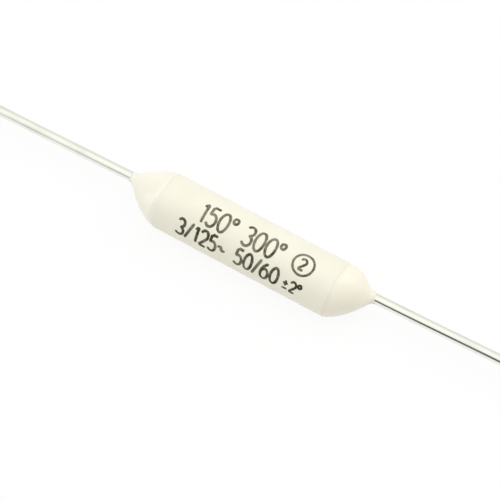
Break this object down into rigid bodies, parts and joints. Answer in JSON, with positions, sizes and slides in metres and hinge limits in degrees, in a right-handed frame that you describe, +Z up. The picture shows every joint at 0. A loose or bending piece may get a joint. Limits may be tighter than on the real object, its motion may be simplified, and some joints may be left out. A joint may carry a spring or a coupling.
{
  "type": "thermal fuse",
  "caption": "Axial-lead thermal fuse: a cream ceramic tube closed by resin domes, with straight tinned wire leads and a sealed fusible link that opens its circuit on overheating.",
  "frame": {"origin": "middle of the ceramic tube, on its axis", "axes": "+X along the tube's axis towards the right lead, +Y the side towards which the lead line is set off, +Z up"},
  "size_m": [0.0905, 0.0044, 0.0044],
  "materials": {
    "ceramic": "unglazed, fine matt",
    "resin": "cast, satin",
    "tinned_copper": "bright tin plate on drawn copper wire",
    "fusible_alloy": "dull cast alloy",
    "flux": "clear amber rosin"
  },
  "bodies": {
    "root": {"ceramic_tube": "ceramic", "left_seal": "resin", "right_seal": "resin", "left_lead": "tinned_copper", "right_lead": "tinned_copper", "fusible_link": "fusible_alloy", "flux": "flux"}
  },
  "joints": []
}
